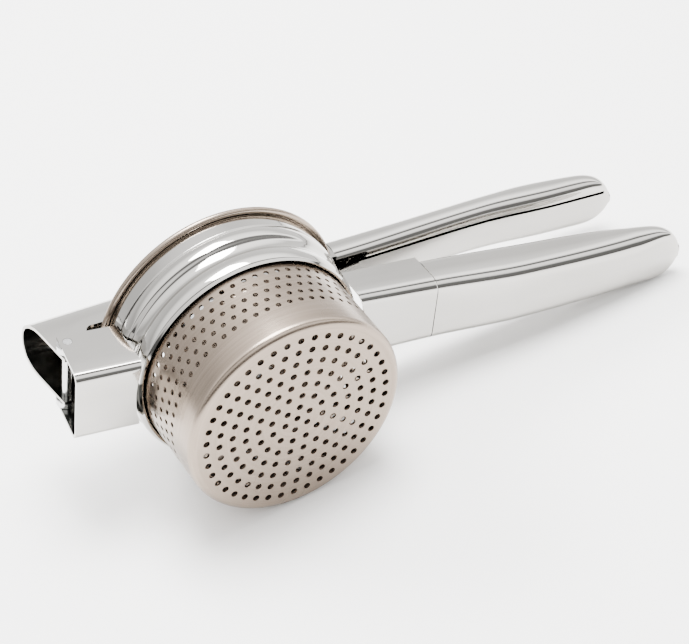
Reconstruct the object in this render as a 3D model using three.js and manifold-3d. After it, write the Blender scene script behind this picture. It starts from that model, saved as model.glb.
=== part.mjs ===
// Potato ricer: a perforated basket in a pressed collar, a hinged lever above it and a plunger in the basket.
// The object is drawn in its own axes: x to the handle tips, y across, z from the basket's bottom to its rim.
// Then it is laid on its side, so that it rests on its bottom edge, its rim and the tip of the frame handle.
import * as THREE from 'three';
import { mergeVertices } from 'three/addons/utils/BufferGeometryUtils.js';
import Module from 'manifold-3d';

const wasm = await Module();
wasm.setup();

// ---- driving dimensions, mm ----
const PITCH = 5.35;                    // spacing of the rings of holes in the bottom
const RINGS = 7;                       // rings of holes round the centre hole
const HOLE_R = 1.4;
const SIDE_ROWS = 5;                   // staggered rows of holes in the basket wall
const SIDE_COUNT = 60;                 // holes in each row
const SIDE_LOW = 14.6;                 // height of the lowest row
const SIDE_PITCH = 4.5;                // spacing of the rows
const SIDE_HOLE_R = 1.1;
const HOLE_TURN = 36;                  // degrees from x to the nearest straight row of holes
const BASKET_R = 44;                   // outside of the basket wall
const BASKET_T = 0.9;                  // basket sheet
const BASKET_CORNER = 3;
const RIM_R = 50.8;                    // outside of the rolled bead
const BEAD_R = 1.3;
const BASKET_H = 64.8;
const RIM_FILLET = 2.2;                // outside, where the wall turns out to the rim
const BASKET_SIDES = 60;               // one flat to each hole of a row
const SIDE_START = 0.25;               // first hole of a row, in parts of the spacing, to sit on a flat
const SHEET = 1.2;                     // sheet of the frame and the lever
const GAP = 0.35;                      // between pieces that are welded or lie against each other
const RUN = 0.06;                      // radial clearance of a pin that turns
const PRESS = 0.02;                    // radial clearance of a pin that is pressed in
const ACROSS = 60;                     // length of what cuts through both walls of the frame or the lever

const COLLAR_LOW = 36;
const COLLAR_HIGH = 62.6;
const COLLAR_R = 47.9;                 // mean outside of the collar band
const COLLAR_T = 1;                    // its thickness
const COLLAR_SIDES = 48;
const COLLAR_BULGE = 0.5;              // how far its widest rib stands out from COLLAR_R

const HINGE_X = -66.2;
const HINGE_Z = 57;
const PIN_R = 1.8;
const BRACKET_HALF = 15.5;             // half width of the hinge bracket, over its walls
const BRACKET_END = -71.8;
const BRACKET_WEB = 36.6;              // outside of its web at the outer end
const BRACKET_SLOPE = 0.1;             // how fast the web drops towards the collar
const BRACKET_TOP = 61.4;              // top of its walls at the outer end
const BRACKET_FALL = 0.12;             // how fast the walls' top drops towards the collar
const BRACKET_LEAN = 7;                // degrees its open end leans back over the hinge
const BEND_R = 4;                      // bends of the bracket
const SPACER_T = 2.2;                  // wall of the spacers on the hinge pin

const NECK_END = 79;
const FRAME_TIP = 193.5;
const LEVER_TIP = 188;
const ARM_END = 54;
const LEVER_END = -72.5;
const LEVER_LOW = 52.5;                // open edge of the lever beside the hinge pin
const LEVER_CUT = 3.4;                 // how far the arm's end is cut back at LEVER_LOW
const LEVER_CUT_SLOPE = 1 / 8;         // how fast the cut runs out above that
const LEVER_HALF = 11;                 // half width of the lever arm at the hinge
const NOSE = 16;                       // length over which a handle's tip rounds off
const TIP_CROWD = 1.8;                 // how much closer its stations stand towards the tip
const SEAM = 1.4;                      // width of the open seam along a handle's inner side
const SEAM_DEEP = 26;                  // more than the height of sheet it cuts
const FRAME_SEAM_Z = 34;               // the frame handle's seam cuts all that is above this
const LEVER_SEAM_Z = 73.5;             // and the lever handle's all that is below this
const LEVER_SEAM_Y = -5;               // the lever handle's seam lies to one side

const PLUNGER_X = -8;                  // the plunger's pivot on the lever
const PLUNGER_Z = 73;
const PLATE_R = 40.5;
const PLATE_Z = 29;                    // underside of the plunger plate at rest
const PLATE_T = 1.5;
const PLATE_RIM = 5;                   // height of its turned-up rim
const PLATE_CORNER = 2;
const STEM_HALF = 8.6;                  // half width of the plunger's bracket
const STEM_T = 1.6;                    // sheet of its two cheeks
const STEM_FOOT_T = 2;
const STEM_LONG = 30;                  // length of its foot
const STEM_TOP_R = 6;                  // round top of a cheek
const STEM_TOP_DROP = 1;               // how far its centre lies below the pivot
const PLUNGER_PIN_R = 2;
const PIN_HEAD = { over: 1.4, t: 1.2 };     // a head's overhang and thickness
const RIVET_R = 2;
const RIVET_HEAD = { over: 1.5, t: 1 };
const RIVET_X = [-9, 9];                // either side of the plunger's pivot

// ---- helpers ----
function solid(geometry) {
  const bare = geometry.clone();
  bare.deleteAttribute('normal');
  bare.deleteAttribute('uv');
  const merged = mergeVertices(bare, 1e-5);
  return new wasm.Manifold(new wasm.Mesh({
    numProp: 3,
    vertProperties: new Float32Array(merged.attributes.position.array),
    triVerts: new Uint32Array(merged.index.array),
  }));
}

function toGeometry(body) {
  const mesh = body.getMesh();
  const geometry = new THREE.BufferGeometry();
  geometry.setAttribute('position', new THREE.BufferAttribute(new Float32Array(mesh.vertProperties), 3));
  geometry.setIndex(new THREE.BufferAttribute(new Uint32Array(mesh.triVerts), 1));
  return geometry;
}

const mix = (a, b, t) => a + (b - a) * t;
const clamp01 = (t) => Math.min(1, Math.max(0, t));

// A smooth run through stations [x, value] that never overshoots them.
function curve(stations) {
  const rates = stations.slice(1).map(([x, v], i) => (v - stations[i][1]) / (x - stations[i][0]));
  const slopes = stations.map((station, i) => {
    if (i === 0) return rates[0];
    if (i === rates.length) return rates[i - 1];
    const product = rates[i - 1] * rates[i];
    return product <= 0 ? 0 : (2 * product) / (rates[i - 1] + rates[i]);
  });
  return (x) => {
    let i = 0;
    while (i < rates.length - 1 && x > stations[i + 1][0]) i += 1;
    const [x0, v0] = stations[i];
    const [x1, v1] = stations[i + 1];
    const t = clamp01((x - x0) / (x1 - x0));
    const pull = t * (1 - t) * ((1 - t) * slopes[i] - t * slopes[i + 1]);
    return mix(v0, v1, t * t * (3 - 2 * t)) + (x1 - x0) * pull;
  };
}

// A round bar across the object, centred on y.
function crossPin(r, length, x, z, sides = 20, y = 0) {
  return new THREE.CylinderGeometry(r, r, length, sides).translate(x, y, z);
}

// A round bar along the basket's axis.
function upright(r, z0, z1, sides = 32, x = 0, y = 0) {
  return new THREE.CylinderGeometry(r, r, z1 - z0, sides).rotateX(Math.PI / 2).translate(x, y, (z0 + z1) / 2);
}

function lathe(points, sides) {
  const profile = points.map(([r, z]) => new THREE.Vector2(r, z));
  return new THREE.LatheGeometry([...profile, profile[0]], sides).rotateX(Math.PI / 2);
}

function arc(cr, cz, r, from, to, steps) {
  const points = [];
  for (let i = 0; i <= steps; i += 1) {
    const a = THREE.MathUtils.degToRad(mix(from, to, i / steps));
    points.push([cr + r * Math.cos(a), cz + r * Math.sin(a)]);
  }
  return points;
}

function extrude(shape, depth, curveSegments, steps = 1) {
  return new THREE.ExtrudeGeometry(shape, { depth, steps, curveSegments, bevelEnabled: false });
}

// A box-like bar along x with two rounded corners on its web side.
// Across it runs from -half to half; its web is at web(x) and its open edge at edge(x).
// The corners reach bendY(x) in from the sides and bendZ(x) down from the web.
function bar({ x0, x1, steps, half, web, edge, bendY, bendZ }) {
  const straight = 0.5;
  const shape = new THREE.Shape();
  shape.moveTo(-1, 0);
  shape.lineTo(1, 0);
  shape.lineTo(1, straight);
  shape.absellipse(straight, straight, 1 - straight, 1 - straight, 0, Math.PI / 2, false);
  shape.lineTo(-straight, 1);
  shape.absellipse(-straight, straight, 1 - straight, 1 - straight, Math.PI / 2, Math.PI, false);
  shape.closePath();
  const geometry = extrude(shape, 1, 3, steps);
  const p = geometry.attributes.position;
  for (let i = 0; i < p.count; i += 1) {
    const x = mix(x0, x1, p.getZ(i));
    const side = Math.sign(p.getX(i));
    const up = Math.sign(web(x) - edge(x));
    const beyond = Math.max(0, Math.abs(p.getX(i)) - straight);
    const above = Math.max(0, p.getY(i) - straight);
    const turn = Math.atan2(above, beyond);
    const y = half(x) - bendY(x) * (1 - Math.cos(turn));
    const wallTop = web(x) - up * bendZ(x);
    const onWall = mix(edge(x), wallTop, p.getY(i) / straight);
    p.setXYZ(i, x, side * y, above > 0 ? wallTop + up * bendZ(x) * Math.sin(turn) : onWall);
  }
  return geometry;
}

// A bar whose web is below its edge comes out inside out, so each of its triangles is turned over.
function turned(geometry) {
  const out = geometry.clone();
  const p = out.attributes.position;
  for (let i = 0; i < p.count; i += 3) {
    const a = [p.getX(i), p.getY(i), p.getZ(i)];
    p.setXYZ(i, p.getX(i + 1), p.getY(i + 1), p.getZ(i + 1));
    p.setXYZ(i + 1, ...a);
  }
  return out;
}

// A thin channel: the bar less the same bar one sheet smaller, open at both ends and on its edge side.
function channel(options) {
  const { x0, x1, half, web, edge, bendY, bendZ } = options;
  const side = Math.sign(web(x0) - edge(x0));
  const inner = {
    ...options,
    x0: x0 - 1,
    x1: x1 + 1,
    half: (x) => half(x) - SHEET,
    bendY: (x) => bendY(x) - SHEET,
    bendZ: (x) => bendZ(x) - SHEET,
    web: (x) => web(x) - side * SHEET,
    edge: (x) => edge(x) - 3 * side,
  };
  const make = (o) => solid(side > 0 ? bar(o) : turned(bar(o)));
  return make(options).subtract(make(inner));
}

// A closed bar along x with four rounded edges, between heights low(x) and high(x).
// A crowd over 1 sets its stations closer together towards x1.
function tube({ x0, x1, steps, half, low, high, bend, crowd }) {
  const straight = 0.5;
  const shape = new THREE.Shape();
  for (const [i, j, start] of [[1, -1, 1.5], [1, 1, 0], [-1, 1, 0.5], [-1, -1, 1]]) {
    shape.absarc(i * straight, j * straight, 1 - straight, start * Math.PI, (start + 0.5) * Math.PI, false);
  }
  const geometry = extrude(shape, 1, 4, steps);
  const p = geometry.attributes.position;
  for (let i = 0; i < p.count; i += 1) {
    const x = mix(x0, x1, 1 - (1 - p.getZ(i)) ** crowd);
    const across = Math.max(0, Math.abs(p.getX(i)) - straight);
    const along = Math.max(0, Math.abs(p.getY(i)) - straight);
    const turn = Math.atan2(along, across);
    const b = Math.min(bend(x), 0.95 * half(x), 0.45 * (high(x) - low(x)));
    const y = Math.sign(p.getX(i)) * (half(x) - b * (1 - Math.cos(turn)));
    const upper = p.getY(i) > 0;
    const z = upper ? high(x) - b * (1 - Math.sin(turn)) : low(x) + b * (1 - Math.sin(turn));
    p.setXYZ(i, x, y, z);
  }
  return geometry;
}

// Narrows a handle to its rounded tip.
function roundEnd(half, tip) {
  return (x) => half(x) * Math.sqrt(Math.max(0.08, 1 - clamp01((x - tip + NOSE) / NOSE) ** 3));
}

// A handle rolled from sheet, with a closed tip and an open root.
// Its seam is a narrow slot between the two heights in seam.z that runs from the root to seam.end.
function handle(x0, tip, half, low, high, bend, seam) {
  const outside = { x0, x1: tip, steps: 12, half: roundEnd(half, tip), low, high, bend, crowd: TIP_CROWD };
  const inside = {
    ...outside,
    x0: x0 - 1,
    x1: tip - 2 * SHEET,
    half: (x) => Math.max(0.4, outside.half(x) - SHEET),
    low: (x) => low(x) + SHEET,
    high: (x) => high(x) - SHEET,
    bend: (x) => bend(x) - SHEET,
  };
  const length = seam.end - inside.x0;
  const slot = new THREE.BoxGeometry(length, SEAM, seam.z[1] - seam.z[0])
    .translate(inside.x0 + length / 2, seam.y, (seam.z[0] + seam.z[1]) / 2);
  return solid(tube(outside)).subtract(solid(tube(inside))).subtract(solid(slot));
}

// ---- basket ----
function basketBlank() {
  const beadR = RIM_R - BEAD_R;
  const beadZ = BASKET_H - BEAD_R;
  const flangeLow = beadZ - BASKET_T / 2;
  const flangeHigh = beadZ + BASKET_T / 2;
  const inner = RIM_FILLET + BASKET_T;
  return solid(lathe([
    [0, 0],
    ...arc(BASKET_R - BASKET_CORNER, BASKET_CORNER, BASKET_CORNER, -90, 0, 2),
    ...arc(BASKET_R + RIM_FILLET, flangeLow - RIM_FILLET, RIM_FILLET, 180, 90, 2),
    ...arc(beadR, beadZ, BEAD_R, -160, 160, 5),
    ...arc(BASKET_R + RIM_FILLET, flangeHigh - inner, inner, 90, 180, 2),
    ...arc(BASKET_R - BASKET_CORNER, BASKET_CORNER, BASKET_CORNER - BASKET_T, 0, -90, 1),
    [0, BASKET_T],
  ], BASKET_SIDES));
}

function makeBasket() {
  const cutters = [upright(HOLE_R, -1, 2, 6)];
  for (let ring = 1; ring <= RINGS; ring += 1) {
    for (let k = 0; k < 6 * ring; k += 1) {
      const a = THREE.MathUtils.degToRad(HOLE_TURN + (60 * k) / ring);
      cutters.push(upright(HOLE_R, -1, 2, 6, ring * PITCH * Math.cos(a), ring * PITCH * Math.sin(a)));
    }
  }
  for (let row = 0; row < SIDE_ROWS; row += 1) {
    const z = SIDE_LOW + row * SIDE_PITCH;
    for (let k = 0; k < SIDE_COUNT; k += 1) {
      const turn = (2 * Math.PI * (k + SIDE_START + (row % 2) / 2)) / SIDE_COUNT;
      const cutter = new THREE.CylinderGeometry(SIDE_HOLE_R, SIDE_HOLE_R, 4, 4);
      cutters.push(cutter.rotateZ(Math.PI / 2).translate(BASKET_R, 0, z).rotateZ(turn));
    }
  }
  const tools = cutters.map((g) => solid(g));
  return basketBlank().subtract(wasm.Manifold.union(tools));
}

// ---- frame ----
function makeCollar() {
  const band = COLLAR_HIGH - COLLAR_LOW;
  // Outside radius up the band: a plain band under the rim, a groove, two round ribs and a rolled lower edge.
  const outside = [
    [0, -2.4], [0.05, -1.5], [0.15, -0.9], [0.24, -1.1], [0.34, -1.9], [0.44, -1.3], [0.54, 0.1], [0.62, 0.5],
    [0.69, 0.3], [0.71, -0.2], [0.73, 0.4], [1, 0.3],
  ].map(([t, d]) => [COLLAR_R + d, COLLAR_LOW + t * band]);
  const inside = outside.map(([r, z]) => [r - COLLAR_T, z]).reverse();
  return solid(lathe([...outside, ...inside], COLLAR_SIDES));
}

// The room the collar and the basket's rim take out of the pieces welded round them.
function collarSpace() {
  const rim = solid(upright(RIM_R + 0.6, BASKET_H - 2 * BEAD_R - 1, BASKET_H + 20, 64));
  return solid(upright(COLLAR_R + COLLAR_BULGE + GAP, COLLAR_LOW - 12, BASKET_H, 64)).add(rim);
}

// All that is past x at height z on the hinge side, behind a plane that leans over by an angle in radians.
function beyond(x, z, lean) {
  const deep = 20;
  const block = new THREE.BoxGeometry(deep, ACROSS, 80).translate(-deep / 2, 0, 0);
  return solid(block.rotateY(lean).translate(x, 0, z));
}

function makeBracket() {
  const web = (x) => BRACKET_WEB - BRACKET_SLOPE * (x - BRACKET_END);
  const body = channel({
    x0: BRACKET_END - 4,
    x1: -40,
    steps: 1,
    half: () => BRACKET_HALF,
    web,
    edge: (x) => BRACKET_TOP - BRACKET_FALL * (x - BRACKET_END),
    bendY: () => BEND_R,
    bendZ: () => BEND_R,
  });
  const end = beyond(BRACKET_END, BRACKET_WEB, THREE.MathUtils.degToRad(BRACKET_LEAN));
  const hole = solid(crossPin(PIN_R + PRESS, ACROSS, HINGE_X, HINGE_Z));
  return body.subtract(end).subtract(collarSpace()).subtract(hole);
}

// The neck and the frame handle share these outlines. The neck is a channel open towards the lever.
const frameWeb = curve([[40, 36], [NECK_END, 32], [120, 26.5], [165, 24.5], [FRAME_TIP, 25.5]]);
const frameEdge = curve([[40, 52], [NECK_END, 50], [120, 45.5], [165, 39.8], [FRAME_TIP, 30]]);
const frameHalf = curve([[40, 16], [NECK_END, 14.8], [120, 14], [165, 13.2], [FRAME_TIP, 12.6]]);
const frameBend = curve([[40, 4.5], [NECK_END, 5], [120, 5.5], [FRAME_TIP, 6.5]]);

function makeNeck() {
  const body = channel({
    x0: 38, x1: NECK_END, steps: 3, half: frameHalf, web: frameWeb, edge: frameEdge,
    bendY: frameBend, bendZ: frameBend,
  });
  return body.subtract(collarSpace());
}

function makeFrameHandle() {
  const seam = { y: 0, z: [FRAME_SEAM_Z, FRAME_SEAM_Z + SEAM_DEEP], end: FRAME_TIP - NOSE };
  return handle(NECK_END + GAP, FRAME_TIP, frameHalf, frameWeb, frameEdge, frameBend, seam);
}

// ---- lever ----
const leverWeb = curve([
  [LEVER_END, 84], [-20, 83.5], [0, 82.5], [45, 79.5], [ARM_END, 79.8], [110, 80.8], [140, 81.3], [167, 78.9],
  [LEVER_TIP, 74],
]);
const leverEdge = curve([
  [LEVER_END, LEVER_LOW], [-61, LEVER_LOW], [-53, 67], [ARM_END, 67.5], [125, 69.5], [160, 67.5],
  [LEVER_TIP, 67],
]);
const leverHalf = curve([
  [LEVER_END, LEVER_HALF], [45, LEVER_HALF], [ARM_END, 10.6], [165, 11.8], [LEVER_TIP, 11.4],
]);
const leverBendY = curve([[LEVER_END, 10.4], [-40, 9], [0, 6], [ARM_END, 5]]);
const leverBendZ = curve([[LEVER_END, 14], [-40, 10], [0, 6], [ARM_END, 5]]);
const leverBend = curve([[ARM_END, 5], [125, 5.5], [LEVER_TIP, 5]]);

function makeArm() {
  const body = channel({
    x0: LEVER_END, x1: ARM_END, steps: 14, half: leverHalf, web: leverWeb, edge: leverEdge,
    bendY: leverBendY, bendZ: leverBendZ,
  });
  const hinge = solid(crossPin(PIN_R + RUN, ACROSS, HINGE_X, HINGE_Z));
  const pivot = solid(crossPin(PLUNGER_PIN_R + PRESS, ACROSS, PLUNGER_X, PLUNGER_Z));
  const end = beyond(LEVER_END + LEVER_CUT, LEVER_LOW, -Math.atan(LEVER_CUT_SLOPE));
  return body.subtract(hinge).subtract(pivot).subtract(end);
}

function makeLeverHandle() {
  const seam = { y: LEVER_SEAM_Y, z: [LEVER_SEAM_Z - SEAM_DEEP, LEVER_SEAM_Z], end: LEVER_TIP - NOSE / 4 };
  return handle(ARM_END + GAP, LEVER_TIP, leverHalf, leverEdge, leverWeb, leverBend, seam);
}

// ---- hinge hardware ----
// A pin across the object with a round head outside each wall it passes through.
function headedPin(r, over, x, z) {
  const { over: wide, t } = PIN_HEAD;
  const heads = [-1, 1].map((side) => solid(crossPin(r + wide, t, x, z, 20, side * (over + t / 2))));
  return solid(crossPin(r, 2 * over + t, x, z)).add(heads[0]).add(heads[1]);
}

// A tube round a pin, between y0 and y1.
function spacer(inner, outer, x, z, y0, y1) {
  const middle = (y0 + y1) / 2;
  const length = Math.abs(y1 - y0);
  const bore = solid(crossPin(inner, length + 2, x, z, 20, middle));
  return solid(crossPin(outer, length, x, z, 20, middle)).subtract(bore);
}

// ---- plunger ----
const rivetHole = (x) => solid(upright(RIVET_R + PRESS, PLATE_Z - 5, PLATE_Z + 10, 16, PLUNGER_X + x));

function makePlate() {
  const r = PLATE_R;
  return solid(lathe([
    [0, PLATE_Z],
    ...arc(r - PLATE_CORNER, PLATE_Z + PLATE_CORNER, PLATE_CORNER, -90, 0, 3),
    [r, PLATE_Z + PLATE_RIM],
    [r - PLATE_T, PLATE_Z + PLATE_RIM],
    [r - PLATE_T, PLATE_Z + 1.1 * PLATE_CORNER],
    [r - 1.1 * PLATE_CORNER, PLATE_Z + PLATE_T],
    [0, PLATE_Z + PLATE_T],
  ], 48)).subtract(rivetHole(RIVET_X[0])).subtract(rivetHole(RIVET_X[1]));
}

function makeStem() {
  const base = PLATE_Z + PLATE_T + GAP;
  const shoulder = PLUNGER_Z - base - STEM_TOP_DROP;
  const foot = new THREE.BoxGeometry(STEM_LONG, 2 * STEM_HALF, STEM_FOOT_T)
    .translate(PLUNGER_X, 0, base + STEM_FOOT_T / 2);
  const shape = new THREE.Shape();
  shape.moveTo(-STEM_LONG / 2, 0);
  shape.lineTo(STEM_LONG / 2, 0);
  shape.lineTo(STEM_TOP_R, shoulder);
  shape.absarc(0, shoulder, STEM_TOP_R, 0, Math.PI, false);
  shape.closePath();
  const cheek = (y) => extrude(shape, STEM_T, 8).rotateX(Math.PI / 2).translate(PLUNGER_X, y, base);
  const left = solid(cheek(-STEM_HALF + STEM_T));
  const right = solid(cheek(STEM_HALF));
  const hole = solid(crossPin(PLUNGER_PIN_R + RUN, ACROSS, PLUNGER_X, PLUNGER_Z));
  return solid(foot).add(left).add(right).subtract(hole)
    .subtract(rivetHole(RIVET_X[0])).subtract(rivetHole(RIVET_X[1]));
}

// A rivet through the plate and the stem's foot, with a low round head above and below.
function makeRivet(x) {
  const low = PLATE_Z - GAP;
  const high = PLATE_Z + PLATE_T + GAP + STEM_FOOT_T + GAP;
  const shank = solid(upright(RIVET_R, low - 0.5, high + 0.5, 16, PLUNGER_X + x));
  const heads = [[low - RIVET_HEAD.t, low], [high, high + RIVET_HEAD.t]]
    .map(([z0, z1]) => solid(upright(RIVET_R + RIVET_HEAD.over, z0, z1, 16, PLUNGER_X + x)));
  return shank.add(heads[0]).add(heads[1]);
}

// ---- assembly ----
const steel = { color: 0xb9b1a8, roughness: 0.34, metalness: 1 };
const chrome = { color: 0xd9dbde, roughness: 0.08, metalness: 1 };
const pinSteel = { color: 0xb8babd, roughness: 0.2, metalness: 1 };

const bracketInside = BRACKET_HALF - SHEET;
const hingeSpacer = (side) => spacer(PIN_R + PRESS, PIN_R + SPACER_T, HINGE_X, HINGE_Z,
  side * (LEVER_HALF + GAP), side * (bracketInside - PRESS));
const pieces = [
  ['basket', makeBasket(), steel],
  ['collar', makeCollar(), chrome],
  ['hinge_bracket', makeBracket(), chrome],
  ['frame_neck', makeNeck(), chrome],
  ['frame_handle', makeFrameHandle(), chrome],
  ['hinge_pin', solid(crossPin(PIN_R, 2 * BRACKET_HALF, HINGE_X, HINGE_Z)), pinSteel],
  ['hinge_spacer_left', hingeSpacer(-1), pinSteel],
  ['hinge_spacer_right', hingeSpacer(1), pinSteel],
  ['lever_arm', makeArm(), chrome],
  ['lever_handle', makeLeverHandle(), chrome],
  ['plunger_pin', headedPin(PLUNGER_PIN_R, LEVER_HALF + GAP, PLUNGER_X, PLUNGER_Z), pinSteel],
  ['plunger_plate', makePlate(), steel],
  ['plunger_stem', makeStem(), pinSteel],
  ['plunger_rivet_hinge_side', makeRivet(RIVET_X[0]), pinSteel],
  ['plunger_rivet_handle_side', makeRivet(RIVET_X[1]), pinSteel],
];

// ---- resting pose ----
// Leans the basket's axis so that its bottom corner and its rim bead both touch the floor.
function restTilt() {
  const rise = (BASKET_H - BEAD_R) - BASKET_CORNER;
  const spread = (RIM_R - BEAD_R) - (BASKET_R - BASKET_CORNER);
  return Math.atan2(spread, rise) + Math.asin((BEAD_R - BASKET_CORNER) / Math.hypot(spread, rise));
}

function poseAt(roll) {
  const onSide = new THREE.Matrix4().makeBasis(
    new THREE.Vector3(1, 0, 0), new THREE.Vector3(0, 0, -1), new THREE.Vector3(0, 1, 0),
  );
  const rolled = new THREE.Matrix4().makeRotationY(roll);
  const tilted = new THREE.Matrix4().makeRotationX(restTilt());
  return tilted.multiply(rolled).multiply(onSide);
}

function lowest(geometry, pose) {
  const p = geometry.attributes.position;
  const v = new THREE.Vector3();
  let low = Infinity;
  for (let i = 0; i < p.count; i += 1) low = Math.min(low, v.fromBufferAttribute(p, i).applyMatrix4(pose).z);
  return low;
}

// Rolls the object about the basket's axis until the tip of the frame handle touches the floor too.
function restPose(geometries) {
  let low = 0;
  let high = Math.PI / 6;
  for (let i = 0; i < 30; i += 1) {
    const middle = (low + high) / 2;
    const pose = poseAt(middle);
    const tipIsHigher = lowest(geometries.frame_handle, pose) > lowest(geometries.basket, pose);
    if (tipIsHigher) low = middle;
    else high = middle;
  }
  const pose = poseAt((low + high) / 2);
  const box = new THREE.Box3();
  for (const geometry of Object.values(geometries)) {
    const laid = geometry.clone().applyMatrix4(pose);
    box.union(new THREE.Box3().setFromBufferAttribute(laid.attributes.position));
  }
  const centre = box.getCenter(new THREE.Vector3());
  return new THREE.Matrix4().makeTranslation(-centre.x, -centre.y, -box.min.z).multiply(pose);
}

const geometries = Object.fromEntries(pieces.map(([name, body]) => [name, toGeometry(body)]));
const pose = restPose(geometries);

const part = new THREE.Group();
part.name = 'potato_ricer';
for (const [name, , look] of pieces) {
  const mesh = new THREE.Mesh(geometries[name].applyMatrix4(pose), new THREE.MeshStandardMaterial(look));
  mesh.name = name;
  part.add(mesh);
}

export default part;
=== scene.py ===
"""Looks for the potato ricer: a satin basket with chrome frame and lever, lying on its side."""

import math

import bmesh
import bpy
from mathutils import Matrix, Vector
from mathutils.geometry import delaunay_2d_cdt


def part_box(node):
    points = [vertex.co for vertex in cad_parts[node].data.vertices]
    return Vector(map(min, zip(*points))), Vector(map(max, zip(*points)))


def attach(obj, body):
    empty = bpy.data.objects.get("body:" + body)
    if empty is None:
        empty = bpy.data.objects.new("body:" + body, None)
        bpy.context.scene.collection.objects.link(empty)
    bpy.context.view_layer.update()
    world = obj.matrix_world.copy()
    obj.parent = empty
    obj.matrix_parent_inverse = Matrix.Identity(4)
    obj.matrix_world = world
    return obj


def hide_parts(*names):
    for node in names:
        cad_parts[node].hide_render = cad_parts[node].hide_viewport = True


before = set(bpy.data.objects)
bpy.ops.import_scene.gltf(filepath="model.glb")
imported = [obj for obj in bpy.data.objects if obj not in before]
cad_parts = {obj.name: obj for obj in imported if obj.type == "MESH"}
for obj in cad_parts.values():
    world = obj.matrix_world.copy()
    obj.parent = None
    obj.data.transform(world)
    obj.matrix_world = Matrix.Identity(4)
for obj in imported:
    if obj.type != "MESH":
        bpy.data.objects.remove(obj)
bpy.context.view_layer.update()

# ---- sizes, mm, in the ricer's own axes ----
# x runs to the handle tips, y across, and z from the basket's bottom to its rim.
PITCH = 5.35                # spacing of the rings of holes in the bottom
RINGS = 7
HOLE_R = 1.36
HOLE_TURN = math.radians(36)
HOLE_SIDES = 14
SIDE_ROWS = 5               # staggered rows of holes in the wall
SIDE_COUNT = 60             # holes in each row
SIDE_LOW = 14.6             # height of the lowest row
SIDE_PITCH = 4.5
SIDE_HOLE_R = 1.1
SIDE_SHIFT = 0.25           # first hole of a row, in parts of the spacing
BASKET_R = 44
BASKET_T = 0.9
BASKET_CORNER = 3
BASKET_H = 64.8
RIM_R = 50.8
RIM_FILLET = 2.2            # where the wall turns out to the rim
RIM_ROOM = 0.6              # between the rim and the pieces welded to the collar
BEAD_R = 1.3
BEAD_INSET = 0.018          # keeps the bead inside its outline
BEAD_FROM = -150            # degrees round the bead where its curl starts and ends
BEAD_TO = 170
ROUND = 240                 # stations round the basket's axis

SHEET = 1.2                 # sheet of the frame and the lever
GAP = 0.35                  # between pieces that are welded or lie against each other
PRESS = 0.02                # radial clearance of a pin that is pressed in
RUN = 0.06                  # radial clearance of a pin that turns
ACROSS = 60                 # length of what cuts through both walls of the frame or the lever
COLLAR_LOW = 36
COLLAR_HIGH = 62.6
COLLAR_R = 47.9
COLLAR_T = 0.95
COLLAR_BULGE = 0.5          # how far its widest rib stands out from COLLAR_R
COLLAR_STEPS = 120

HINGE_X = -66.2
HINGE_Z = 57
PIN_R = 1.8
SPACER_T = 2.2              # wall of the spacers on the hinge pin
BRACKET_HALF = 15.5
BRACKET_END = -71.8
BRACKET_WEB = 36.6          # its web at the outer end
BRACKET_SLOPE = 0.1
BRACKET_TOP = 61.4          # top of its walls at the outer end
BRACKET_FALL = 0.12
BRACKET_LEAN = math.radians(7)
BEND_R = 4
NECK_END = 79
FRAME_TIP = 193.5
ARM_END = 54
LEVER_END = -72.5
LEVER_CUT = 3.4             # how far the arm's end is cut back at LEVER_LOW
LEVER_CUT_SLOPE = 1 / 8
LEVER_TIP = 188
LEVER_HALF = 11
LEVER_LOW = 52.5
NOSE = 16                   # length over which a handle's tip rounds off
TIP_CROWD = 1.8             # how much closer its stations stand towards the tip
SEAM = 1.4                  # width of the open seam along a handle's inner side
SEAM_DEEP = 26              # more than the height of sheet it cuts
FRAME_SEAM_Z = 34
LEVER_SEAM_Z = 73.5
LEVER_SEAM_Y = -5

PLUNGER_X = -8
PLUNGER_Z = 73
PLUNGER_PIN_R = 2
PIN_HEAD_OVER = 1.4
PIN_HEAD_T = 1.2
CHAMFER = 0.2               # broken edge of a pin or its head
SPACER_CHAMFER = 0.3
PLATE_R = 40.5
PLATE_Z = 29
PLATE_T = 1.5
PLATE_RIM = 5
PLATE_CORNER = 2
PLATE_EYE_R = 0.01          # the ring of points at the plate's centre, which the weld closes
RIVET_R = 2
RIVET_X = (-9, 9)           # either side of the plunger's pivot

# ---- the camera, in the ricer's own axes: places in mm, its right side as a direction, its lens in mm ----
CAMERA_AT = Vector((-330.5, -542.6, -514.3))
CAMERA_TARGET = Vector((42.7, -1.5, 40))
CAMERA_RIGHT = Vector((0.864, -0.0882, -0.4955))
CAMERA_LENS = 116.5

MM = 0.001
WELD = 5e-6                 # points this close together, in metres, are one point
TINY = 0.001                # radius in mm where a pin's profile ends, which the weld closes
SMOOTH = math.radians(40)   # a sharper edge than this stays sharp

# ---- light ----
# Brightness of the studio at degrees from the front horizon, over the top, to the back horizon.
STUDIO = (
    (0, 0.08), (28, 0.1), (38, 0.8), (60, 0.95), (66, 0.12), (78, 0.12), (88, 1.1), (98, 1.3), (112, 1.1),
    (124, 0.8), (137, 0.52), (155, 0.55), (180, 0.6),
)
STUDIO_STRENGTH = 3.6
STUDIO_LEFT = 0.5           # what is left of it at the far left
STUDIO_FULL_X = 0.2         # where it is at full strength, as x of the direction
KEY = {"place": (0.15, 0.1, 1.4), "size": (0.7, 0.7), "power": 60}
BACK = {"place": (-0.6, 1.0, 1.0), "size": (0.9, 0.5), "power": 45}
LIT_PLACE = (0, 0, 0.03)    # what both lamps look at, metres


# ---- where the ricer's own axes lie in the row frame ----
def centre(node):
    low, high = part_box(node)
    return (Vector(low) + Vector(high)) / 2


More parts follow.
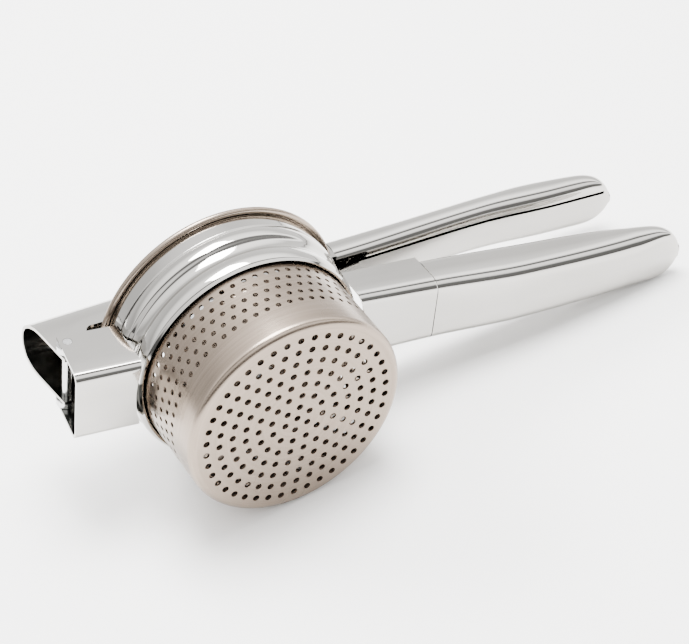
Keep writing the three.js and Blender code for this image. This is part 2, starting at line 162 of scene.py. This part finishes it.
def find_place():
    """Reads the pose back from the two pins. The basket's rim and bottom corner both touch the floor."""
    rise = BASKET_H - BEAD_R - BASKET_CORNER
    widening = RIM_R - BEAD_R - BASKET_R + BASKET_CORNER
    tilt = math.atan2(widening, rise) + math.asin((BEAD_R - BASKET_CORNER) / math.hypot(widening, rise))
    hinge = Vector((HINGE_X, 0, HINGE_Z)) * MM
    pivot = Vector((PLUNGER_X, 0, PLUNGER_Z)) * MM
    drop = (centre("plunger_pin") - centre("hinge_pin")).z
    between = pivot - hinge
    roll = math.asin((between.z * math.sin(tilt) - drop) / (between.x * math.cos(tilt)))
    on_side = Matrix(((1, 0, 0), (0, 0, 1), (0, -1, 0))).to_4x4()
    turned = Matrix.Rotation(tilt, 4, "X") @ Matrix.Rotation(roll, 4, "Y") @ on_side
    return Matrix.Translation(centre("hinge_pin") - turned @ hinge) @ turned


PLACE = find_place()


# ---- numbers ----
def mix(a, b, t):
    return a + (b - a) * t


def clamp01(t):
    return min(1.0, max(0.0, t))


def curve(stations):
    """A smooth run through stations (x, value) that never overshoots them."""
    xs = [s[0] for s in stations]
    vs = [s[1] for s in stations]
    rates = [(vs[i + 1] - vs[i]) / (xs[i + 1] - xs[i]) for i in range(len(xs) - 1)]
    slopes = [rates[0]]
    for before, after in zip(rates, rates[1:]):
        turning = before * after <= 0
        slopes.append(0 if turning else 2 * before * after / (before + after))
    slopes.append(rates[-1])

    def value(x):
        i = 0
        while i < len(rates) - 1 and x > xs[i + 1]:
            i += 1
        span = xs[i + 1] - xs[i]
        t = clamp01((x - xs[i]) / span)
        rise = t * t * (3 - 2 * t)
        pull = t * (1 - t) * ((1 - t) * slopes[i] - t * slopes[i + 1])
        return mix(vs[i], vs[i + 1], rise) + span * pull

    return value


def arc(cr, cz, r, start, end, steps):
    turns = [math.radians(mix(start, end, i / steps)) for i in range(steps + 1)]
    return [(cr + r * math.cos(a), cz + r * math.sin(a)) for a in turns]


# ---- materials ----
def new_material(name):
    material = bpy.data.materials.new(name)
    material.use_nodes = True
    tree = material.node_tree
    return material, tree, tree.nodes["Principled BSDF"]


def own_axes(tree):
    """Places in the ricer's own axes, in metres, read back from the row frame."""
    back = PLACE.inverted()
    coords = tree.nodes.new("ShaderNodeTexCoord")
    mapping = tree.nodes.new("ShaderNodeMapping")
    mapping.inputs["Location"].default_value = back.to_translation()
    mapping.inputs["Rotation"].default_value = back.to_euler()
    tree.links.new(coords.outputs["Object"], mapping.inputs["Vector"])
    return mapping.outputs["Vector"]


def noise(tree, scale, stretch, detail=4.0):
    """Noise stretched by different amounts along the ricer's own axes."""
    mapping = tree.nodes.new("ShaderNodeMapping")
    mapping.inputs["Scale"].default_value = stretch
    texture = tree.nodes.new("ShaderNodeTexNoise")
    texture.inputs["Scale"].default_value = scale
    texture.inputs["Detail"].default_value = detail
    tree.links.new(own_axes(tree), mapping.inputs["Vector"])
    tree.links.new(mapping.outputs["Vector"], texture.inputs["Vector"])
    return texture


def ring_noise(tree, scale, along):
    """Noise drawn out round the basket's axis: it varies with radius and height, and slowly with angle."""
    split = tree.nodes.new("ShaderNodeSeparateXYZ")
    radius = tree.nodes.new("ShaderNodeVectorMath")
    radius.operation = "LENGTH"
    flat = tree.nodes.new("ShaderNodeCombineXYZ")
    angle = tree.nodes.new("ShaderNodeMath")
    angle.operation = "ARCTAN2"
    slow = tree.nodes.new("ShaderNodeMath")
    slow.operation = "MULTIPLY"
    slow.inputs[1].default_value = along
    out = tree.nodes.new("ShaderNodeCombineXYZ")
    texture = tree.nodes.new("ShaderNodeTexNoise")
    texture.inputs["Scale"].default_value = scale
    texture.inputs["Detail"].default_value = 5.0
    link = tree.links.new
    link(own_axes(tree), split.inputs["Vector"])
    link(split.outputs["X"], flat.inputs["X"])
    link(split.outputs["Y"], flat.inputs["Y"])
    link(flat.outputs["Vector"], radius.inputs[0])
    link(split.outputs["Y"], angle.inputs[0])
    link(split.outputs["X"], angle.inputs[1])
    link(angle.outputs["Value"], slow.inputs[0])
    link(radius.outputs["Value"], out.inputs["X"])
    link(split.outputs["Z"], out.inputs["Y"])
    link(slow.outputs["Value"], out.inputs["Z"])
    link(out.outputs["Vector"], texture.inputs["Vector"])
    return texture


def spread(tree, texture, low, high):
    """Maps a texture's middle range to low..high."""
    ranged = tree.nodes.new("ShaderNodeMapRange")
    ranged.inputs["From Min"].default_value = 0.3
    ranged.inputs["From Max"].default_value = 0.7
    ranged.inputs["To Min"].default_value = low
    ranged.inputs["To Max"].default_value = high
    tree.links.new(texture.outputs["Fac"], ranged.inputs["Value"])
    return ranged.outputs["Result"]


def tint(tree, texture, dark, light):
    ramp = tree.nodes.new("ShaderNodeValToRGB")
    ramp.color_ramp.elements[0].position = 0.3
    ramp.color_ramp.elements[0].color = (*dark, 1)
    ramp.color_ramp.elements[1].position = 0.7
    ramp.color_ramp.elements[1].color = (*light, 1)
    tree.links.new(texture.outputs["Fac"], ramp.inputs["Fac"])
    return ramp.outputs["Color"]


def bump(tree, shader, texture, strength, distance):
    node = tree.nodes.new("ShaderNodeBump")
    node.inputs["Strength"].default_value = strength
    node.inputs["Distance"].default_value = distance
    tree.links.new(texture.outputs["Fac"], node.inputs["Height"])
    tree.links.new(node.outputs["Normal"], shader.inputs["Normal"])


def satin_steel(name, dark, light):
    material, tree, shader = new_material(name)
    brush = ring_noise(tree, 900, 0.0006)
    cloud = noise(tree, 40, (1, 1, 1), 2.0)
    shader.inputs["Metallic"].default_value = 1.0
    tree.links.new(tint(tree, brush, dark, light), shader.inputs["Base Color"])
    tree.links.new(spread(tree, cloud, 0.23, 0.3), shader.inputs["Roughness"])
    bump(tree, shader, brush, 0.12, 0.00002)
    return material


def chrome():
    material, tree, shader = new_material("chrome")
    smear = noise(tree, 60, (0.3, 1, 1), 3.0)
    fine = noise(tree, 900, (0.1, 1, 1), 2.0)
    shader.inputs["Metallic"].default_value = 1.0
    tree.links.new(tint(tree, smear, (0.46, 0.445, 0.42), (0.52, 0.505, 0.48)), shader.inputs["Base Color"])
    tree.links.new(spread(tree, smear, 0.045, 0.1), shader.inputs["Roughness"])
    bump(tree, shader, fine, 0.08, 0.00001)
    return material


def chrome_inside_painted_shade():
    """Painted shade: a much darker base colour for the inner faces of a folded sheet, standing in for the
    shade inside the channel. These faces are a little rougher too.
    """
    material, tree, shader = new_material("chrome_inside_painted_shade")
    smear = noise(tree, 60, (0.3, 1, 1), 3.0)
    shader.inputs["Metallic"].default_value = 1.0
    tree.links.new(tint(tree, smear, (0.13, 0.13, 0.125), (0.2, 0.2, 0.19)), shader.inputs["Base Color"])
    tree.links.new(spread(tree, smear, 0.1, 0.2), shader.inputs["Roughness"])
    return material


def pin_steel():
    material, tree, shader = new_material("pin_steel")
    turned = noise(tree, 1500, (1, 0.15, 1), 3.0)
    shader.inputs["Metallic"].default_value = 1.0
    tree.links.new(tint(tree, turned, (0.6, 0.6, 0.6), (0.74, 0.74, 0.74)), shader.inputs["Base Color"])
    tree.links.new(spread(tree, turned, 0.14, 0.24), shader.inputs["Roughness"])
    bump(tree, shader, turned, 0.15, 0.00001)
    return material


SATIN = satin_steel("satin_steel", (0.28, 0.224, 0.178), (0.34, 0.275, 0.222))
# Painted shade: a much darker satin for the basket's inner faces, which keeps its holes dark.
SATIN_INSIDE_PAINTED_SHADE = satin_steel("satin_steel_inside_painted_shade", (0.11, 0.088, 0.07), (0.15, 0.12, 0.097))
CHROME = chrome()
# Painted shade: a dark chrome for the inner faces of the frame and the lever.
CHROME_INSIDE_PAINTED_SHADE = chrome_inside_painted_shade()
PIN_STEEL = pin_steel()


# ---- making pieces ----
def piece(name, points, faces, material, body, nodes, sheet=0.0, inside=None):
    """A mesh in the ricer's own axes, in mm, laid in place. A sheet makes a surface into a plate."""
    mesh = bpy.data.meshes.new(name)
    mesh.from_pydata([PLACE @ (Vector(p) * MM) for p in points], [], faces)
    mesh.validate()
    weld(mesh)
    made = bpy.data.objects.new(name, mesh)
    bpy.context.scene.collection.objects.link(made)
    mesh.materials.append(material)
    if sheet:
        plate = made.modifiers.new("sheet", "SOLIDIFY")
        plate.thickness = sheet * MM
        plate.offset = -1.0
        plate.use_even_offset = True
        # The inside material darkens the inner faces: painted shade.
        if inside:
            mesh.materials.append(inside)
            plate.material_offset = 1
    apply_modifiers(made)
    made.data.shade_smooth()
    made.data.set_sharp_from_angle(angle=SMOOTH)
    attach(made, body)
    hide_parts(*nodes)
    return made


def weld(mesh):
    """Joins points that lie together, so that neighbouring parts of a piece share their edges."""
    joined = bmesh.new()
    joined.from_mesh(mesh)
    bmesh.ops.remove_doubles(joined, verts=joined.verts, dist=WELD)
    joined.to_mesh(mesh)
    joined.free()


def apply_modifiers(made):
    """Puts what the modifiers give into the mesh itself."""
    graph = bpy.context.evaluated_depsgraph_get()
    baked = bpy.data.meshes.new_from_object(made.evaluated_get(graph))
    made.modifiers.clear()
    made.data = baked


def grid_faces(rows, columns, around=False, flip=False):
    """Quads between rows of points. Around joins the last column to the first, and flip turns them over."""
    faces = []
    for i in range(rows - 1):
        for j in range(columns if around else columns - 1):
            k = (j + 1) % columns
            quad = (i * columns + j, i * columns + k, (i + 1) * columns + k, (i + 1) * columns + j)
            faces.append(quad[::-1] if flip else quad)
    return faces


def lathe(profile, segments=ROUND):
    """Points and faces of a profile (r, z) turned round the basket's axis."""
    points = []
    for r, z in profile:
        for k in range(segments):
            a = 2 * math.pi * k / segments
            points.append((r * math.cos(a), r * math.sin(a), z))
    return points, grid_faces(len(profile), segments, around=True)


def cross_lathe(profile, x, z, segments=48):
    """Points and faces of a profile (r, y) turned round an axis across the ricer.

    The outer side of the profile has to run towards rising y, so that the faces look outwards.
    """
    points = []
    for r, y in profile:
        for k in range(segments):
            a = 2 * math.pi * k / segments
            points.append((x + r * math.cos(a), y, z + r * math.sin(a)))
    return points, grid_faces(len(profile), segments, around=True, flip=True)


# ---- basket ----
def bottom_sheet():
    """The flat bottom, a plate with its rings of round holes cut out."""
    flat = BASKET_R - BASKET_CORNER
    centres = [(0.0, 0.0)]
    for ring in range(1, RINGS + 1):
        for k in range(6 * ring):
            a = HOLE_TURN + math.radians(60) * k / ring
            centres.append((ring * PITCH * math.cos(a), ring * PITCH * math.sin(a)))
    loops = []
    points = []
    for r, sides, (cx, cy) in [(flat, ROUND, (0, 0))] + [(HOLE_R, HOLE_SIDES, c) for c in centres]:
        start = len(points)
        for k in range(sides):
            a = 2 * math.pi * k / sides
            points.append(Vector((cx + r * math.cos(a), cy + r * math.sin(a))))
        loops += [(start + k, start + (k + 1) % sides) for k in range(sides)]
    flat_points, _, triangles, *_ = delaunay_2d_cdt(points, loops, [], 0, 1e-6)
    inside = HOLE_R * 0.99
    kept = []
    for triangle in triangles:
        middle = sum((flat_points[i] for i in triangle), Vector((0, 0))) / 3
        ring = round(middle.length / PITCH)
        in_hole = middle.length < inside
        if 1 <= ring <= RINGS:
            step = math.radians(60) / ring
            k = round((math.atan2(middle.y, middle.x) - HOLE_TURN) / step)
            a = HOLE_TURN + k * step
            in_hole = (middle - Vector((math.cos(a), math.sin(a))) * ring * PITCH).length < inside
        if not in_hole:
            kept.append(tuple(triangle)[::-1])
    return [(p.x, p.y, 0.0) for p in flat_points], kept


def side_cell(row, k, points, faces):
    """One cell of the basket wall round its hole. Neighbours share the twelve points of its edge."""
    middle_z = SIDE_LOW + row * SIDE_PITCH
    shift = SIDE_SHIFT + (row % 2) / 2
    edge = [(-0.5 + q / 4, -0.5) for q in range(5)] + [(0.5, 0.0)]
    edge += [(0.5 - q / 4, 0.5) for q in range(5)] + [(-0.5, 0.0)]
    start = len(points)
    width = 2 * math.pi * BASKET_R / SIDE_COUNT
    for u, v in edge:
        a = 2 * math.pi * (k + shift + u) / SIDE_COUNT
        points.append((BASKET_R * math.cos(a), BASKET_R * math.sin(a), middle_z + v * SIDE_PITCH))
    for u, v in edge:
        turn = math.atan2(v * SIDE_PITCH, u * width)
        a = 2 * math.pi * (k + shift) / SIDE_COUNT + SIDE_HOLE_R * math.cos(turn) / BASKET_R
        z = middle_z + SIDE_HOLE_R * math.sin(turn)
        points.append((BASKET_R * math.cos(a), BASKET_R * math.sin(a), z))
    count = len(edge)
    for j in range(count):
        n = (j + 1) % count
        faces.append((start + j, start + n, start + count + n, start + count + j))


def make_basket():
    """The flat bottom, its corner, the cells with holes, and the wall above them with its rolled rim."""
    points, faces = bottom_sheet()

    def add(new_points, new_faces):
        start = len(points)
        points.extend(new_points)
        faces.extend(tuple(start + i for i in face) for face in new_faces)

    wall_low = SIDE_LOW - SIDE_PITCH / 2
    wall_high = wall_low + SIDE_ROWS * SIDE_PITCH
    corner = BASKET_R - BASKET_CORNER
    bead_z = BASKET_H - BEAD_R
    flange = bead_z - BASKET_T / 2
    turn_z = flange - RIM_FILLET
    add(*lathe(arc(corner, BASKET_CORNER, BASKET_CORNER, -90, 0, 8) + [(BASKET_R, wall_low)]))
    cells = []
    cell_faces = []
    for row in range(SIDE_ROWS):
        for k in range(SIDE_COUNT):
            side_cell(row, k, cells, cell_faces)
    add(cells, cell_faces)
    rim_turn = arc(BASKET_R + RIM_FILLET, turn_z, RIM_FILLET, 180, 90, 8)
    bead = arc(RIM_R - BEAD_R, bead_z, BEAD_R - BEAD_INSET, BEAD_FROM, BEAD_TO, 16)
    add(*lathe([(BASKET_R, wall_high)] + rim_turn + bead))
    piece("basket_fine", points, faces, SATIN, "basket", ["basket"],
          sheet=BASKET_T, inside=SATIN_INSIDE_PAINTED_SHADE)


# ---- frame ----
# Up the collar, in parts of its height: how far its outside stands out from COLLAR_R.
COLLAR_LINE = (
    (0, -2.4), (0.05, -1.5), (0.15, -0.9), (0.24, -1.1), (0.34, -1.9), (0.44, -1.3), (0.54, 0.1),
    (0.62, 0.5), (0.69, 0.3), (0.71, -0.2), (0.73, 0.4), (1, 0.3),
)


def make_collar():
    """A band with a groove, two round ribs and a rolled lower edge."""
    line = curve(COLLAR_LINE)
    profile = []
    for i in range(COLLAR_STEPS + 1):
        t = i / COLLAR_STEPS
        profile.append((COLLAR_R + line(t), mix(COLLAR_LOW, COLLAR_HIGH, t)))
    points, faces = lathe(profile)
    piece("collar_fine", points, faces, CHROME, "frame", ["collar"], sheet=COLLAR_T)


def section(half, web, edge, bend_y, bend_z, steps=10):
    """Across a channel: up one wall, round the bend, over the web and down the other wall, as (y, z)."""
    up = 1 if web > edge else -1
    wall_top = web - up * bend_z
    line = [(half, mix(edge, wall_top, i / 4)) for i in range(4)]
    for i in range(steps + 1):
        a = math.radians(90) * i / steps
        line.append((half - bend_y * (1 - math.cos(a)), wall_top + up * bend_z * math.sin(a)))
    line += [(mix(half - bend_y, 0, i / 3), web) for i in range(1, 4)]
    return line + [(-y, z) for y, z in line[-2::-1]]


def channel(name, x0, x1, steps, outline, body, nodes, cuts):
    """A thin channel along x, open at both ends, less the shapes in cuts."""
    half, web, edge, bend_y, bend_z = outline
    points = []
    columns = 0
    for i in range(steps + 1):
        x = mix(x0, x1, i / steps)
        line = section(half(x), web(x), edge(x), bend_y(x), bend_z(x))
        columns = len(line)
        points += [(x, y, z) for y, z in line]
    faces = grid_faces(steps + 1, columns, flip=web(x0) < edge(x0))
    made = piece(name, points, faces, CHROME, body, nodes, sheet=SHEET, inside=CHROME_INSIDE_PAINTED_SHADE)
    for cutter in cuts:
        cut(made, *cutter)


def cut(made, points, faces):
    """Takes a closed shape out of a piece."""
    mesh = bpy.data.meshes.new("cutter")
    mesh.from_pydata([PLACE @ (Vector(p) * MM) for p in points], [], faces)
    tool = bpy.data.objects.new("cutter", mesh)
    bpy.context.scene.collection.objects.link(tool)
    bpy.context.view_layer.update()
    trim = made.modifiers.new("trim", "BOOLEAN")
    trim.object = tool
    trim.operation = "DIFFERENCE"
    apply_modifiers(made)
    bpy.data.objects.remove(tool)
    bpy.data.meshes.remove(mesh)


def drum(r, z0, z1, sides=160, x=0.0):
    """A solid round bar along the basket's axis, or beside it at x."""
    points, faces = lathe([(r, z0), (r, z1)], sides)
    return [(x + px, y, z) for px, y, z in points], faces + caps(sides)


def cross_drum(r, x, z, sides=48):
    """A solid round bar across the ricer, through both walls of the frame or the lever."""
    points, faces = cross_lathe([(r, -ACROSS / 2), (r, ACROSS / 2)], x, z, sides)
    return points, faces + [cap[::-1] for cap in caps(sides)]


def caps(sides):
    """The two end faces of a bar with two rows of points."""
    return [tuple(range(sides))[::-1], tuple(range(sides, 2 * sides))]


# The six outward faces of a box whose eight corners are listed x by x, then y by y, then z by z.
BOX_FACES = ((0, 1, 3, 2), (4, 6, 7, 5), (0, 4, 5, 1), (2, 3, 7, 6), (0, 2, 6, 4), (1, 5, 7, 3))


def beyond(x, z, lean):
    """The space past an end plane through (x, z) that leans by an angle."""
    corners = []
    for along in (-30, 0):
        for y in (-40, 40):
            for high in (-60, 60):
                corners.append((x + along * math.cos(lean) + high * math.sin(lean), y,
                                z - along * math.sin(lean) + high * math.cos(lean)))
    return corners, list(BOX_FACES)


# The room the collar and the basket's rim take out of the pieces welded round them.
COLLAR_ROOM = (
    drum(COLLAR_R + COLLAR_BULGE + GAP, COLLAR_LOW - 12, BASKET_H),
    drum(RIM_R + RIM_ROOM, BASKET_H - 2 * BEAD_R - 1, BASKET_H + 20),
)


def block(x0, x1, y0, y1, z0, z1):
    """A box as points and outward faces."""
    points = [(x, y, z) for x in (x0, x1) for y in (y0, y1) for z in (z0, z1)]
    return points, list(BOX_FACES)


def round_end(half, tip):
    """Narrows a handle to its rounded tip."""
    return lambda x: half(x) * math.sqrt(max(0.08, 1 - clamp01((x - tip + NOSE) / NOSE) ** 3))


def tube_section(half, low, high, bend, steps=6):
    """Round a closed handle: four sides and four bends, as (y, z)."""
    b = min(bend, 0.95 * half, 0.45 * (high - low))
    corners = ((1, high - b, 0), (-1, high - b, 90), (-1, low + b, 180), (1, low + b, 270))
    line = []
    for side, z, start in corners:
        line += arc(side * (half - b), z, b, start, start + 90, steps)
    return line


def handle(name, x0, tip, outline, seam, body, node, steps=70):
    """A handle rolled from sheet: a closed tip, an open root and a narrow seam along its inner side."""
    half, low, high, bend = outline
    half = round_end(half, tip)
    points = []
    columns = 0
    for i in range(steps + 1):
        x = mix(x0, tip, 1 - (1 - i / steps) ** TIP_CROWD)
        line = tube_section(half(x), low(x), high(x), bend(x))
        columns = len(line)
        points += [(x, y, z) for y, z in line]
    faces = grid_faces(steps + 1, columns, around=True)
    faces.append(tuple(range(steps * columns, (steps + 1) * columns)))
    made = piece(name, points, faces, CHROME, body, [node], sheet=SHEET, inside=CHROME_INSIDE_PAINTED_SHADE)
    middle, low_z, high_z, end = seam
    cut(made, *block(x0 - 1, end, middle - SEAM / 2, middle + SEAM / 2, low_z, high_z))


# Outlines along x. The neck and the frame handle share theirs, and so do the lever's arm and handle.
frame_web = curve([(40, 36), (NECK_END, 32), (120, 26.5), (165, 24.5), (FRAME_TIP, 25.5)])
frame_edge = curve([(40, 52), (NECK_END, 50), (120, 45.5), (165, 39.8), (FRAME_TIP, 30)])
frame_half = curve([(40, 16), (NECK_END, 14.8), (120, 14), (165, 13.2), (FRAME_TIP, 12.6)])
frame_bend = curve([(40, 4.5), (NECK_END, 5), (120, 5.5), (FRAME_TIP, 6.5)])
lever_web = curve([
    (LEVER_END, 84), (-20, 83.5), (0, 82.5), (45, 79.5), (ARM_END, 79.8), (110, 80.8), (140, 81.3),
    (167, 78.9), (LEVER_TIP, 74),
])
lever_edge = curve([
    (LEVER_END, LEVER_LOW), (-61, LEVER_LOW), (-53, 67), (ARM_END, 67.5), (125, 69.5), (160, 67.5),
    (LEVER_TIP, 67),
])
lever_half = curve([
    (LEVER_END, LEVER_HALF), (45, LEVER_HALF), (ARM_END, 10.6), (165, 11.8), (LEVER_TIP, 11.4),
])
lever_bend_y = curve([(LEVER_END, 10.4), (-40, 9), (0, 6), (ARM_END, 5)])
lever_bend_z = curve([(LEVER_END, 14), (-40, 10), (0, 6), (ARM_END, 5)])
lever_bend = curve([(ARM_END, 5), (125, 5.5), (LEVER_TIP, 5)])


def bracket_web(x):
    return BRACKET_WEB - BRACKET_SLOPE * (x - BRACKET_END)


def bracket_top(x):
    return BRACKET_TOP - BRACKET_FALL * (x - BRACKET_END)


def make_frame():
    """The bracket, the neck and the handle that are welded to the collar."""
    bracket = (lambda x: BRACKET_HALF, bracket_web, bracket_top, lambda x: BEND_R, lambda x: BEND_R)
    bracket_end = beyond(BRACKET_END, BRACKET_WEB, BRACKET_LEAN)
    pin_hole = cross_drum(PIN_R + PRESS, HINGE_X, HINGE_Z)
    channel("hinge_bracket_fine", BRACKET_END - 4, -42, 14, bracket, "frame", ["hinge_bracket"],
            (*COLLAR_ROOM, bracket_end, pin_hole))
    neck = (frame_half, frame_web, frame_edge, frame_bend, frame_bend)
    channel("frame_neck_fine", 38, NECK_END, 16, neck, "frame", ["frame_neck"], COLLAR_ROOM)
    outline = (frame_half, frame_web, frame_edge, frame_bend)
    seam = (0, FRAME_SEAM_Z, FRAME_SEAM_Z + SEAM_DEEP, FRAME_TIP - NOSE)
    handle("frame_handle_fine", NECK_END + GAP, FRAME_TIP, outline, seam, "frame", "frame_handle")


def make_lever():
    """The arm over the basket and the handle on its end."""
    arm = (lever_half, lever_web, lever_edge, lever_bend_y, lever_bend_z)
    arm_end = beyond(LEVER_END + LEVER_CUT, LEVER_LOW, -math.atan(LEVER_CUT_SLOPE))
    pin_hole = cross_drum(PIN_R + RUN, HINGE_X, HINGE_Z)
    pivot_hole = cross_drum(PLUNGER_PIN_R + PRESS, PLUNGER_X, PLUNGER_Z)
    channel("lever_arm_fine", LEVER_END, ARM_END, 90, arm, "lever", ["lever_arm"],
            (arm_end, pin_hole, pivot_hole))
    outline = (lever_half, lever_edge, lever_web, lever_bend)
    seam = (LEVER_SEAM_Y, LEVER_SEAM_Z - SEAM_DEEP, LEVER_SEAM_Z, LEVER_TIP - NOSE / 4)
    handle("lever_handle_fine", ARM_END + GAP, LEVER_TIP, outline, seam, "lever", "lever_handle")


# ---- pins, spacers and the plunger ----
def headed_pin(name, r, over, x, z, body, node):
    """A pin across the ricer with a domed head on each end."""
    head = r + PIN_HEAD_OVER
    dome = [(max(head * c, TINY), over + PIN_HEAD_T * s) for c, s in arc(0, 0, 1, 0, 90, 9)]
    half = [(r, 0.01), (r, over), (head - CHAMFER, over)] + dome
    points, faces = cross_lathe([(q, -y) for q, y in reversed(half)] + half, x, z)
    piece(name, points, faces, PIN_STEEL, body, [node])


def flush_pin(name, r, over, x, z, body, node):
    """A pin across the ricer whose ends are ground flush."""
    half = [(r, 0.01), (r, over - CHAMFER), (r - CHAMFER, over), (TINY, over)]
    points, faces = cross_lathe([(q, -y) for q, y in reversed(half)] + half, x, z)
    piece(name, points, faces, PIN_STEEL, body, [node])


def spacer(name, side, node):
    """A tube on the hinge pin between the lever and the bracket, on side -1 or 1."""
    r = PIN_R + SPACER_T
    edge = r - SPACER_CHAMFER
    inner = PIN_R + PRESS
    y0, y1 = sorted((side * (LEVER_HALF + GAP), side * (BRACKET_HALF - SHEET - PRESS)))
    outer = [(edge, y0), (r, y0 + SPACER_CHAMFER), (r, y1 - SPACER_CHAMFER), (edge, y1)]
    points, faces = cross_lathe([(inner, y0), *outer, (inner, y1), (inner, y0)], HINGE_X, HINGE_Z)
    piece(name, points, faces, PIN_STEEL, "frame", [node])


def make_plate():
    """A round plate with a turned-up edge and two rivet holes."""
    corner = arc(PLATE_R - PLATE_CORNER, PLATE_Z + PLATE_CORNER, PLATE_CORNER, -90, 0, 8)
    points, faces = lathe([(PLATE_EYE_R, PLATE_Z), *corner, (PLATE_R, PLATE_Z + PLATE_RIM)])
    made = piece("plunger_plate_fine", points, faces, SATIN, "plunger", ["plunger_plate"],
                 sheet=PLATE_T)
    for x in RIVET_X:
        cut(made, *drum(RIVET_R + PRESS, PLATE_Z - 5, PLATE_Z + 10, 48, PLUNGER_X + x))


make_basket()
make_collar()
make_frame()
make_lever()
flush_pin("hinge_pin_fine", PIN_R, BRACKET_HALF, HINGE_X, HINGE_Z, "frame", "hinge_pin")
headed_pin("plunger_pin_fine", PLUNGER_PIN_R, LEVER_HALF + GAP, PLUNGER_X, PLUNGER_Z, "lever", "plunger_pin")
spacer("hinge_spacer_left_fine", -1, "hinge_spacer_left")
spacer("hinge_spacer_right_fine", 1, "hinge_spacer_right")
make_plate()
# The stem and the rivets keep their CAD shapes.
for cad_name in ("plunger_stem", "plunger_rivet_hinge_side", "plunger_rivet_handle_side"):
    cad_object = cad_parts[cad_name]
    for material_slot in cad_object.material_slots:
        material_slot.material = PIN_STEEL


# ---- floor, light and camera ----
def make_floor():
    bpy.ops.mesh.primitive_plane_add(size=8)
    floor = bpy.context.object
    floor.name = "floor"
    material, tree, shader = new_material("floor")
    grain = noise(tree, 3, (1, 1, 1), 2.0)
    pale = tint(tree, grain, (0.94, 0.935, 0.925), (0.97, 0.965, 0.955))
    tree.links.new(pale, shader.inputs["Base Color"])
    shader.inputs["Roughness"].default_value = 0.6
    floor.data.materials.append(material)


def area_light(name, place, size, power, mirrored=True):
    """A lamp turned to the ricer. Not mirrored, it lights the metal without showing in it."""
    data = bpy.data.lights.new(name, "AREA")
    data.shape = "RECTANGLE"
    data.size = size[0]
    data.size_y = size[1]
    data.energy = power
    lamp = bpy.data.objects.new(name, data)
    lamp.location = place
    lamp.rotation_euler = (Vector(LIT_PLACE) - Vector(place)).to_track_quat("-Z", "Y").to_euler()
    lamp.visible_glossy = mirrored
    bpy.context.scene.collection.objects.link(lamp)


def make_world():
    """A pale studio round the row's x axis: dark towards the camera, bright overhead, dimmer to the left."""
    world = bpy.data.worlds.new("studio")
    bpy.context.scene.world = world
    world.use_nodes = True
    tree = world.node_tree
    coords = tree.nodes.new("ShaderNodeTexCoord")
    split = tree.nodes.new("ShaderNodeSeparateXYZ")
    front = tree.nodes.new("ShaderNodeMath")
    front.operation = "MULTIPLY"
    front.inputs[1].default_value = -1.0
    angle = tree.nodes.new("ShaderNodeMath")
    angle.operation = "ARCTAN2"
    turn = tree.nodes.new("ShaderNodeMapRange")
    turn.inputs["From Max"].default_value = math.pi
    ramp = tree.nodes.new("ShaderNodeValToRGB")
    link = tree.links.new
    link(coords.outputs["Generated"], split.inputs["Vector"])
    link(split.outputs["Y"], front.inputs[0])
    link(split.outputs["Z"], angle.inputs[0])
    link(front.outputs["Value"], angle.inputs[1])
    link(angle.outputs["Value"], turn.inputs["Value"])
    link(turn.outputs["Result"], ramp.inputs["Fac"])
    side = tree.nodes.new("ShaderNodeMapRange")
    side.inputs["From Min"].default_value = -1.0
    side.inputs["From Max"].default_value = STUDIO_FULL_X
    side.inputs["To Min"].default_value = STUDIO_LEFT
    shade = tree.nodes.new("ShaderNodeVectorMath")
    shade.operation = "SCALE"
    link(split.outputs["X"], side.inputs["Value"])
    link(ramp.outputs["Color"], shade.inputs["Vector"])
    link(side.outputs["Result"], shade.inputs["Scale"])
    link(shade.outputs["Vector"], tree.nodes["Background"].inputs["Color"])
    stops = ramp.color_ramp.elements
    for end, (_, grey) in ((0, STUDIO[0]), (1, STUDIO[-1])):
        stops[end].position = end
        stops[end].color = (grey, grey, grey, 1)
    for degrees, grey in STUDIO[1:-1]:
        stop = stops.new(degrees / 180)
        stop.color = (grey, grey, grey, 1)
    tree.nodes["Background"].inputs["Strength"].default_value = STUDIO_STRENGTH


def make_camera():
    """The photo's viewpoint, held in the ricer's own axes so that it follows the pose."""
    ahead = (CAMERA_TARGET - CAMERA_AT).normalized()
    right = (CAMERA_RIGHT - ahead * CAMERA_RIGHT.dot(ahead)).normalized()
    up = right.cross(ahead)
    data = bpy.data.cameras.new("camera")
    data.sensor_width = 36
    data.lens = CAMERA_LENS
    camera = bpy.data.objects.new("camera", data)
    stand = Matrix.Translation(CAMERA_AT * MM) @ Matrix((right, up, -ahead)).transposed().to_4x4()
    camera.matrix_world = PLACE @ stand
    bpy.context.scene.collection.objects.link(camera)
    bpy.context.scene.camera = camera


make_floor()
make_world()
area_light("key", **KEY)
area_light("back", **BACK, mirrored=False)
make_camera()
